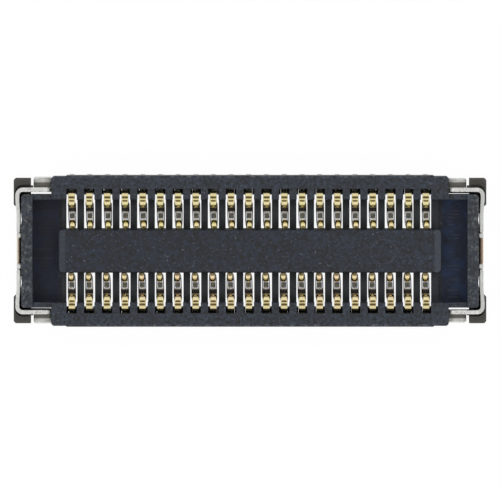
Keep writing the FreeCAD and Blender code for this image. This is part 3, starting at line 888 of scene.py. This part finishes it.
# the layers of colour, one over the other
for share, shade in layers:
    tone = add(tree, "ShaderNodeMix", {"data_type": "RGBA"}, Factor=share, A=tone.outputs[2], B=shade)
metal = add(tree, "ShaderNodeBsdfPrincipled", Base_Color=tone.outputs[2],
            Metallic=1.0, Roughness=0.50, Normal=bump.outputs[0])
add(tree, "ShaderNodeOutputMaterial", Surface=metal.outputs[0])
print("tin nodes:", len(tree.nodes))

# %% Shape of one clip
ARM_Y = 1.3795
ARM_HALF = 0.0475
CLIP_LOW = 0.20
CLIP_HIGH = 0.86
CORNER = (5.132, 1.262)
CORNER_RADIUS = 0.1175
# the tongue: its end and start along X, its low and high side
TONGUE = (4.366, 4.51, 0.34, 0.62)
NOTCH_HALF = 0.29
NOTCH_TOP = 0.60
KNOB_END = 0.41
KNOB_X = 5.166
KNOB_NECK = 0.015
# how far the knob's top falls at its sides, and how squarely it swells: 1 is round, and less is fuller
KNOB_CROWN = 0.05
KNOB_FULLNESS = 0.6
# along y: inner and outer face of the end plate
PLATE = [(KNOB_END, 5.183, 5.269), (KNOB_END + 0.03, 5.183, 5.269), (0.85, 5.183, 5.269),
         (1.00, 5.1925, 5.283), (1.15, 5.202, 5.297), (1.262, 5.202, 5.297)]
# an arm that leans does so between these heights
LEAN_TOP = 0.62
LEAN_RUN = 0.30
CLIP_ROUNDING = 0.016
# each foot: from and to along X, where it ends in Y, and the centre of its bend in Y and Z
FOOT = (4.490, 4.895)
FOOT_END = 1.655
FOOT_BEND = (1.552, 0.22)
FOOT_BEND_RADIUS = 0.1725
FOOT_ROUNDING = 0.012
FOOT_INSET = 0.004
# the foot's root: heights, and half the thickness there
FOOT_ROOT = [(0.27, 0.035), (0.22, ARM_HALF)]
# the foot's tip: how far from its end, how much thinner on each side, and how far its corner is cut back
FOOT_TIP = [(0.035, 0.0, 0.0), (0.014, 0.0, 0.018), (0.0, 0.016, 0.035)]
BEND_STEPS = 8
# where the strip's rings lie: across the notch, along an arm and along its tongue
NOTCH_RINGS = (0.0, 0.14, NOTCH_HALF - 0.012, NOTCH_HALF - 0.004)
ARM_RINGS = (4.98, 4.80, 4.65, TONGUE[1] + 0.005)
TONGUE_RINGS = (TONGUE[1], 4.44, TONGUE[0] + 0.01)
TONGUE_TIP_HALF = 0.03
TONGUE_TAPER = 0.02


def edge_ring(shape, centre, inward, upward, inner, outer, low, high, rounding, lean=0.0):
    """A rounded rectangle across a strip, from inner to outer one way and from low to high the other."""
    ring = []
    for corner in range(4):
        a = (outer, inner, inner, outer)[corner]
        b = (high, high, low, low)[corner]
        toward = ((-1, -1), (1, -1), (1, 1), (-1, 1))[corner]
        for step in (0, 1, 2):
            angle = math.radians(90 * corner + 45 * step)
            p = a + toward[0] * rounding + rounding * math.cos(angle)
            q = b + toward[1] * rounding + rounding * math.sin(angle)
            p -= lean * max(0.0, min(1.0, (LEAN_TOP - q) / LEAN_RUN))
            ring.append(shape.verts.new(Vector(centre) - Vector(inward) * p + Vector(upward) * q))
    return ring


def clip_half():
    """Stations from the middle of the end plate to the tongue.

    Each is a place, the direction inward, and the inner, outer, low and high side of the strip there.
    """
    stations = []
    for y in NOTCH_RINGS:
        stations.append(((0, y), (-1, 0), PLATE[0][1], PLATE[0][2], CLIP_LOW, NOTCH_TOP))
    for step in range(BEND_STEPS + 1):
        angle = math.pi * step / BEND_STEPS
        y = (NOTCH_HALF + KNOB_END) / 2 - (KNOB_END - NOTCH_HALF) / 2 * math.cos(angle)
        bulge = math.sin(angle) ** KNOB_FULLNESS
        inner = PLATE[0][1] + KNOB_NECK - (PLATE[0][1] + KNOB_NECK - KNOB_X) * bulge
        outer = PLATE[0][2] - KNOB_NECK * (1 - bulge)
        top = CLIP_HIGH - KNOB_CROWN * (1 - bulge)
        stations.append(((0, y), (-1, 0), inner, outer, CLIP_LOW, top))
    for y, inner, outer in PLATE[1:]:
        stations.append(((0, y), (-1, 0), inner, outer, CLIP_LOW, CLIP_HIGH))
    for step in range(1, BEND_STEPS + 1):
        angle = math.radians(90 * step / BEND_STEPS)
        inward = (-math.cos(angle), -math.sin(angle))
        stations.append((CORNER, inward, CORNER_RADIUS - ARM_HALF, CORNER_RADIUS + ARM_HALF, CLIP_LOW,
                         CLIP_HIGH))
    for x in ARM_RINGS:
        stations.append(((x, 0), (0, -1), ARM_Y - ARM_HALF, ARM_Y + ARM_HALF, CLIP_LOW, CLIP_HIGH))
    end, _, low, high = TONGUE
    for x in TONGUE_RINGS:
        stations.append(((x, 0), (0, -1), ARM_Y - ARM_HALF, ARM_Y + ARM_HALF, low, high))
    stations.append(((end, 0), (0, -1), ARM_Y - TONGUE_TIP_HALF, ARM_Y + TONGUE_TIP_HALF, low + TONGUE_TAPER,
                     high - TONGUE_TAPER))
    return stations


def build_clip(side, leans, feet):
    """One clip at the end where X has this sign.

    The leans and the lengths added to the feet are given for the front arm and the back arm.
    """
    shape = bmesh.new()
    rings = []
    for sign, order, lean in ((-1, -1, leans[0]), (1, 1, leans[1])):
        half = clip_half()[1:] if sign == 1 else clip_half()
        for (x, y), (ix, iy), inner, outer, low, high in half[::order]:
            on_arm = lean if abs(iy) > 0.5 else 0.0
            centre = (side * x, sign * y, 0)
            inward = (side * ix, sign * iy, 0)
            rings.append(edge_ring(shape, centre, inward, (0, 0, 1), inner, outer, low, high, CLIP_ROUNDING,
                                   on_arm))
    sweep(shape, rings)
    for sign, extra in ((-1, feet[0]), (1, feet[1])):
        stations = [(ARM_Y, z, 0.0, half, 0.0) for z, half in FOOT_ROOT]
        for step in range(1, BEND_STEPS + 1):
            angle = math.radians(90 * step / BEND_STEPS)
            y = FOOT_BEND[0] - FOOT_BEND_RADIUS * math.cos(angle)
            z = FOOT_BEND[1] - FOOT_BEND_RADIUS * math.sin(angle)
            stations.append((y, z, angle, ARM_HALF, 0.0))
        flat = math.pi / 2
        for short, thinner, cut in FOOT_TIP:
            stations.append((FOOT_END + extra - short, ARM_HALF, flat, ARM_HALF - thinner, cut))
        rings = []
        for y, z, angle, half, cut in stations:
            out = Vector((0, sign * math.cos(angle), math.sin(angle)))
            rings.append(edge_ring(shape, (0, sign * y, z), -out, (side, 0, 0), -half, half,
                                   FOOT[0] + FOOT_INSET, FOOT[1] - cut, FOOT_ROUNDING))
        sweep(shape, rings)
    return finished_mesh(shape, "clip")


print("rings from the middle of an end plate to a tongue:", len(clip_half()))

# %% Two clips
# the sign of X at that end, how far each arm leans, front and back, and what is added to each foot's length
CLIPS = {
    "hold_down_left": (-1, (0.030, 0.0), (0.0, 0.012)),
    "hold_down_right": (1, (0.0, 0.040), (-0.018, -0.018)),
}
clip_nodes = sorted(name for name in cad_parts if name.startswith("hold_down"))
print("measured clips:", clip_nodes)
for node in clip_nodes:
    side, leans, feet = CLIPS[node]
    clip = bpy.data.objects.new(node.replace("hold_down", "clip"), build_clip(side, leans, feet))
    bpy.context.scene.collection.objects.link(clip)
    clip.data.materials.append(tin)
    weighted = clip.modifiers.new("even shading", "WEIGHTED_NORMAL")
    weighted.keep_sharp = False
    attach(clip, "root")
    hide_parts(node)
    print(clip.name, "faces:", len(clip.data.polygons))
